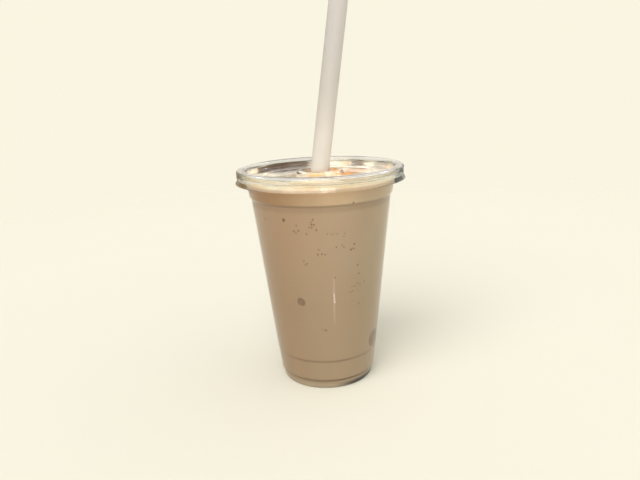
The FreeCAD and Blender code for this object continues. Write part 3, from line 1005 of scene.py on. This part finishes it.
def wall_point(angle, height, depth=0.0):
    """A point on the drink's surface, at an angle to the right from the front, and its normal."""
    radius = wall(height) - CUP_GAUGE + WALL_SINK - depth
    if height > SHOULDER_TOP:
        flare = BAND_FLARE * (height - SHOULDER_TOP) / BAND_HEIGHT
        radius = BAND_FOOT_RADIUS + flare + WALL_SINK - depth
    out = Vector((math.sin(angle), -math.cos(angle), 0))
    normal = (out - Vector((0, 0, WALL_LEAN))).normalized()
    return out * radius + Vector((0, 0, height)), normal


# Pearls that lie against the wall: angle from the front and height, in degrees and millimetres,
# then the ball's radius and how far its middle lies behind the wall.
PEARLS = ((-22.8, 59.0, 5.5, 4.42), (62.5, 26.7, 6.2, 1.8))
PEARL_DENT = 0.05
PEARL_FILM = 1.6
PEARL_COLOURS = ((130, 104, 80), (176, 150, 120))


def make_pearls():
    """The dark balls that show where they press against the wall, each flattened on it."""
    mesh = bmesh.new()
    film = mesh.verts.layers.float.new("film")
    for number, (angle, height, radius, depth) in enumerate(PEARLS):
        middle, _ = wall_point(math.radians(angle), height, depth)
        own_noise = Vector((number * 9, 0, 0))
        ball = bmesh.ops.create_icosphere(mesh, subdivisions=5, radius=radius)
        for vertex in ball["verts"]:
            swelling = PEARL_DENT * noise.noise(vertex.co * 0.35 + own_noise)
            point = middle + vertex.co * (1 + swelling)
            out = math.hypot(point.x, point.y)
            limit = wall(point.z) - CUP_GAUGE + WALL_SINK + PEARL_PROUD
            beyond = max(0.0, out - limit)
            if beyond > 0:
                point.x *= limit / out
                point.y *= limit / out
            vertex[film] = max(0.0, 1 - beyond / min(0.7 * (radius - depth), PEARL_FILM))
            vertex.co = point * MM
    piece = to_object("pearls_dark", mesh, sunk_dark("pearl_dark", *PEARL_COLOURS))


# Groups of small air bubbles on the wall: angle and height of the group's middle, how far it
# spreads in millimetres, how many there are and how wide they are.
BUBBLE_GROUPS = (
    (-52, 106, 1.0, 2, 1.1), (-31, 108, 0.5, 1, 1.6), (-9, 104, 3.6, 16, 0.9),
    (-21, 102, 2.2, 5, 1.0), (6, 100, 3.0, 3, 0.6), (14, 99, 2.0, 3, 0.8),
    (24, 116, 0.5, 1, 1.3), (-2, 89, 2.2, 6, 0.9), (14, 91.5, 2.2, 5, 0.7),
    (24, 91.5, 1.6, 4, 1.1), (-15, 83, 1.5, 4, 0.8), (28, 80, 1.0, 1, 0.9),
    (32, 74, 1.0, 2, 1.1), (9, 73.5, 0.5, 1, 0.9), (30, 65, 4.5, 12, 0.8),
    (-2, 41, 0.8, 2, 0.9),
)
BACK_GROUPS = 26
BUBBLE_SEED = 11
BUBBLE_SIZE = 0.58
BUBBLE_SIZES = (0.7, 1.1)
BUBBLE_STRETCH = (0.85, 1.2)
BUBBLE_SPREAD_UP = 0.55
BUBBLE_SPREAD_ROUND = 0.6
BUBBLE_PROUD = 0.05
BUBBLE_BULGE = 0.07
# Painted shade of the air pits: dark in the middle, paler towards each bubble's edge.
BUBBLE_SHADE_COLOURS = ((114, 88, 62), (166, 140, 110))


def bubble_groups(draw):
    """The groups at the front and looser ones round the sides and back."""
    groups = list(BUBBLE_GROUPS)
    for _ in range(BACK_GROUPS):
        groups.append((draw.uniform(70, 290), draw.uniform(60, 112), draw.uniform(1, 4),
                       draw.randint(1, 7), draw.uniform(0.7, 1.2)))
    return groups


def add_bubble(mesh, film, middle, normal, size, stretch):
    """One flat bubble on the wall, its film growing towards its edge."""
    across = Vector((0, 0, 1)).cross(normal).normalized()
    up = normal.cross(across)
    for vertex in bmesh.ops.create_icosphere(mesh, subdivisions=2, radius=1.0)["verts"]:
        x, y, z = vertex.co
        spread = across * x * size + up * y * size * stretch
        vertex[film] = min(1.0, max(0.0, math.hypot(x, y) - 0.7) * 1.6)
        vertex.co = (middle + spread + normal * z * BUBBLE_BULGE) * MM


def make_bubbles():
    """Small pits of air where the drink leaves the wall, in loose groups all round, each coloured
    with painted shade.
    """
    draw = random.Random(BUBBLE_SEED)
    mesh = bmesh.new()
    film = mesh.verts.layers.float.new("film")
    placed = []
    for angle, height, spread, count, width in bubble_groups(draw):
        for _ in range(count):
            at_height = height + draw.gauss(0, spread * BUBBLE_SPREAD_UP)
            away = draw.gauss(0, spread * BUBBLE_SPREAD_ROUND)
            around = math.radians(angle) + away / wall(height)
            size = BUBBLE_SIZE * width * draw.uniform(*BUBBLE_SIZES)
            middle, normal = wall_point(around, at_height)
            middle = middle + normal * BUBBLE_PROUD
            spacing = 1.2 * size + 0.6 * width
            if any((middle - other).length < spacing for other in placed):
                continue
            placed.append(middle)
            add_bubble(mesh, film, middle, normal, size, draw.uniform(*BUBBLE_STRETCH))
    piece = to_object("air_bubbles", mesh, sunk_dark("bubble_pit_shade", *BUBBLE_SHADE_COLOURS))


# Stage -------------------------------------------------------------------------------

BACKGROUND = (250, 245, 226)
SENSOR_WIDTH = 36.0
LENS = 32.1980625
CAMERA_PLACE = (0.0, -0.34232, 0.17639)
CAMERA_PAN = math.radians(0.297)
CAMERA_PITCH = math.radians(14.757)
CAMERA_ROLL = math.radians(-2.481)

FLOOR_COLOUR = (0.912, 0.888, 0.765, 1)
FLOOR_GRAIN = (0.83, 0.79, 0.65, 1)
FLOOR_SEGMENTS = 96
FLOOR_RINGS = (60, 120, 250, 500, 1000)
FLOOR_FADE = (0.35, 0.9)

SKY_COLOUR = (1.0, 0.985, 0.95, 1)
SKY_LIGHT = 0.62
SKY_TILT = 0.4
INNER_FILL = 2.4
SUN_COLOUR = (1.0, 0.985, 0.96)
SUN_LIGHT = 1.9
SUN_SOFTNESS = math.radians(52)
SUN_PLACE = (-0.47, -0.95, 1.12)

ROOM_WALL = (246, 238, 226)

# Where the room's colour changes: the part of the direction, where it begins and ends, and the
# colour there: the right, the left and the ceiling.
ROOM_SIDES = (
    ("X", 0.22, 0.6, (0.16, 0.165, 0.14, 1)),
    ("X", -0.18, -0.5, (0.3, 0.24, 0.14, 1)),
    ("Z", 0.3, 0.6, (1.15, 1.13, 1.1, 1)),
)

# Things behind the cup, as seen from the camera, that show in the clear lid: each patch's middle
# to the side and upwards as a direction, half its width and height, and its colour.
ROOM_PATCHES = (
    (-0.055, -0.145, 0.048, 0.05, (96, 84, 76)),
    (-0.055, 0.14, 0.05, 0.035, (92, 80, 72)),
    (0.042, 0.15, 0.02, 0.03, (236, 176, 100)),
    (0.068, -0.14, 0.013, 0.04, (140, 126, 104)),
    (0.068, 0.135, 0.013, 0.02, (150, 136, 112)),
    (-0.142, -0.15, 0.024, 0.05, (118, 90, 36)),
    (0.14, -0.14, 0.024, 0.04, (76, 78, 64)),
    (-0.31, -0.05, 0.07, 0.09, (112, 80, 24)),
    (0.32, 0.0, 0.07, 0.1, (40, 42, 32)),
    (-0.42, -0.19, 0.13, 0.05, (146, 120, 110)),
    (0.42, -0.19, 0.13, 0.05, (130, 122, 108)),
)

# Soft boxes that show only in gloss: name, place, size, watts and the point that each faces.
STREAK_TARGET = (0.006, -0.036, 0.058)
SOFT_BOXES = (
    ("window", (0.07, -0.36, 0.53), (0.15, 0.17), 0.25, (0, -0.05, 0.128)),
    ("glint_left", (-0.3, 0.12, 0.42), (0.08, 0.08), 0.35, (-0.03, 0, 0.13)),
    ("glint_right", (0.3, 0.16, 0.4), (0.08, 0.08), 0.35, (0.03, 0, 0.13)),
    ("strip", (0.0226, -0.090, 0.0225), (0.006, 0.036), 0.0007, STREAK_TARGET),
    ("spark", (0.0226, -0.089, 0.024), (0.004, 0.007), 0.0004, STREAK_TARGET),
)

LIGHT_BOUNCES = 24
CLEAR_BOUNCES = 32


def make_camera():
    """The camera at the photograph's angle."""
    data = bpy.data.cameras.new("camera")
    data.sensor_width = SENSOR_WIDTH
    data.lens = LENS
    data.clip_start = 0.01
    camera = bpy.data.objects.new("camera", data)
    level = Matrix.Rotation(math.pi / 2 - CAMERA_PITCH, 4, "X")
    turn = Matrix.Rotation(CAMERA_PAN, 4, "Z") @ level @ Matrix.Rotation(CAMERA_ROLL, 4, "Z")
    camera.matrix_world = Matrix.Translation(CAMERA_PLACE) @ turn
    bpy.context.scene.collection.objects.link(camera)
    bpy.context.scene.camera = camera


def floor_paint():
    """Pale, faintly grained matt paint that fades away far out, where the backdrop takes over."""
    shader = material_shader("floor")
    away = shader.node("VectorMath", {0: shader.place()}, operation="LENGTH").outputs["Value"]
    grain = shader.vary(shader.noise(0.004, 3.0), 0.0, 0.02)
    surface = shader.node("BsdfPrincipled", {
        "Base Color": shader.mix(grain, FLOOR_COLOUR, FLOOR_GRAIN),
        "Roughness": 0.9,
        "Specular IOR Level": 0.0,
    })
    gone = shader.node("BsdfTransparent")
    fade = shader.remap(away, *FLOOR_FADE, 0.0, 1.0, True)
    return shader.finish(shader.blend(fade, surface, gone))


def make_floor():
    """A wide round floor under the cup."""
    mesh = bmesh.new()
    angles = [math.tau * index / FLOOR_SEGMENTS for index in range(FLOOR_SEGMENTS)]
    circles = [[Vector((radius * math.cos(a), radius * math.sin(a), 0)) for a in angles]
               for radius in FLOOR_RINGS]
    skin(mesh, [[Vector((0, 0, 0))]] + circles)
    data = bpy.data.meshes.new("floor")
    mesh.to_mesh(data)
    mesh.free()
    data.materials.append(floor_paint())
    floor = bpy.data.objects.new("floor", data)
    floor.location.z = CAD_BOUNDS[0][2]
    bpy.context.scene.collection.objects.link(floor)


def mirrored_room(shader):
    """The room in the plastic's gloss: pale walls, darker sides, bright ceiling and patches."""
    way = shader.node("TexCoord").outputs["Generated"]
    axes = shader.axes(way)
    room = paint(ROOM_WALL)
    for axis, near, far, shade in ROOM_SIDES:
        room = shader.mix(shader.remap(axes[axis], near, far, 0.0, 1.0, True), room, shade)
    blur = shader.node("TexNoise", {"Vector": way, "Scale": 22.0, "Detail": 3.0}).outputs["Fac"]
    wander = shader.vary(blur, -1.0, 1.0)
    behind = shader.remap(axes["Y"], 0.0, 0.3, 0.0, 1.0, True)
    for middle, level, half_width, half_height, shade in ROOM_PATCHES:
        share = behind
        for axis, centre, half in (("X", middle, half_width), ("Z", level, half_height)):
            away = shader.gap(axes[axis], centre)
            away = shader.math("ADD", away, shader.math("MULTIPLY", wander, 0.25 * half))
            inside = shader.remap(away, 0.75 * half, 1.15 * half, 1.0, 0.0, True)
            share = shader.math("MULTIPLY", share, inside)
        room = shader.mix(share, room, paint(shade))
    return shader.node("Background", {"Color": room, "Strength": 1.0})


def even_light(shader, through_plastic):
    """Light from all round, stronger on the right and more so through the plastic."""
    aside = shader.axes(shader.node("TexCoord").outputs["Generated"])["X"]
    low, high = SKY_LIGHT * (1 - SKY_TILT), SKY_LIGHT * (1 + SKY_TILT)
    strength = shader.remap(aside, -1.0, 1.0, low, high)
    fill = shader.remap(aside, 0.0, 1.0, 0.0, INNER_FILL)
    inner = shader.math("ADD", shader.math("MULTIPLY", through_plastic, fill), 1.0)
    strength = shader.math("MULTIPLY", strength, inner)
    return shader.node("Background", {"Color": SKY_COLOUR, "Strength": strength})


def make_world():
    """The backdrop for the camera, the room for the plastic's gloss, even light for the rest."""
    shader = Shader(bpy.data.worlds.new("studio"), "OutputWorld")
    rays = shader.node("LightPath").outputs
    glossy = shader.math("MAXIMUM", rays["Is Glossy Ray"], rays["Is Transmission Ray"])
    direct = shader.remap(rays["Diffuse Depth"], 0.2, 0.8, 1.0, 0.0)
    mirrored = shader.math("MULTIPLY", glossy, direct)
    even = even_light(shader, rays["Is Transmission Ray"])
    backdrop = shader.node("Background", {"Color": paint(BACKGROUND)})
    lit = shader.blend(mirrored, even, mirrored_room(shader))
    shown = shader.blend(rays["Is Camera Ray"], lit, backdrop)
    bpy.context.scene.world = shader.finish(shown)


def aim(item, place, target):
    """Put a light at a place, turned towards a point."""
    way = Vector(target) - Vector(place)
    turn = way.to_track_quat("-Z", "Y").to_matrix().to_4x4()
    item.matrix_world = Matrix.Translation(place) @ turn
    bpy.context.scene.collection.objects.link(item)


def add_box(name, place, size, watts, target):
    """A soft box that shows in gloss but neither lights matt things nor is seen itself."""
    data = bpy.data.lights.new(name, "AREA")
    data.shape = "ELLIPSE"
    data.size, data.size_y = size
    data.energy = watts
    box = bpy.data.objects.new(name, data)
    aim(box, place, target)
    box.visible_camera = False
    box.visible_diffuse = False
    box.visible_transmission = False


def make_lights():
    """A broad soft sun from above the camera's left, which isn't mirrored, and the soft boxes."""
    data = bpy.data.lights.new("key", "SUN")
    data.energy = SUN_LIGHT
    data.angle = SUN_SOFTNESS
    data.color = SUN_COLOUR
    key = bpy.data.objects.new("key", data)
    key.visible_glossy = False
    aim(key, SUN_PLACE, (0, 0, 0))
    for box in SOFT_BOXES:
        add_box(*box)


def make_stage():
    """Camera, floor, lights and plain colour handling."""
    make_camera()
    make_world()
    make_floor()
    make_lights()
    scene = bpy.context.scene
    scene.view_settings.view_transform = "Standard"
    scene.cycles.max_bounces = LIGHT_BOUNCES
    scene.cycles.transmission_bounces = LIGHT_BOUNCES
    scene.cycles.transparent_max_bounces = CLEAR_BOUNCES


make_stage()
make_cup()
make_lid()
make_straw()
make_coffee(coffee_blend())
make_foam(froth())
make_pearls()
make_bubbles()
